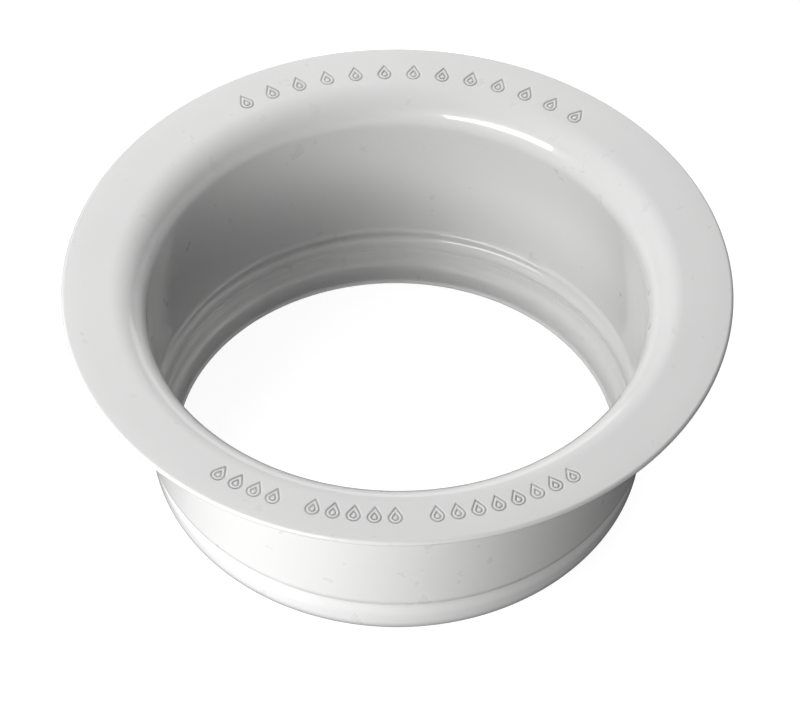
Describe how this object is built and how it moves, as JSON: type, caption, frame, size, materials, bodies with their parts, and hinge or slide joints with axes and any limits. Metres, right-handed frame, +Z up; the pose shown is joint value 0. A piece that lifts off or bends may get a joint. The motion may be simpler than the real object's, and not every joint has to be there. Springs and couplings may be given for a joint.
{
  "type": "sink flange",
  "caption": "Round sheet-metal sink flange in white gloss enamel: flat rim, smooth bend, short sleeve with a snap-ring groove and a turned-in bottom edge.",
  "frame": {"origin": "on the axis, level with the lowest point of the turned-in bottom edge", "axes": "+Z up along the sleeve's axis, from the bottom edge to the rim; -Y towards the front group of stamped marks"},
  "size_m": [0.1142, 0.1142, 0.0424],
  "materials": {
    "white_enamel": "gloss"
  },
  "bodies": {
    "root": {"sink_flange": "white_enamel"}
  },
  "joints": []
}
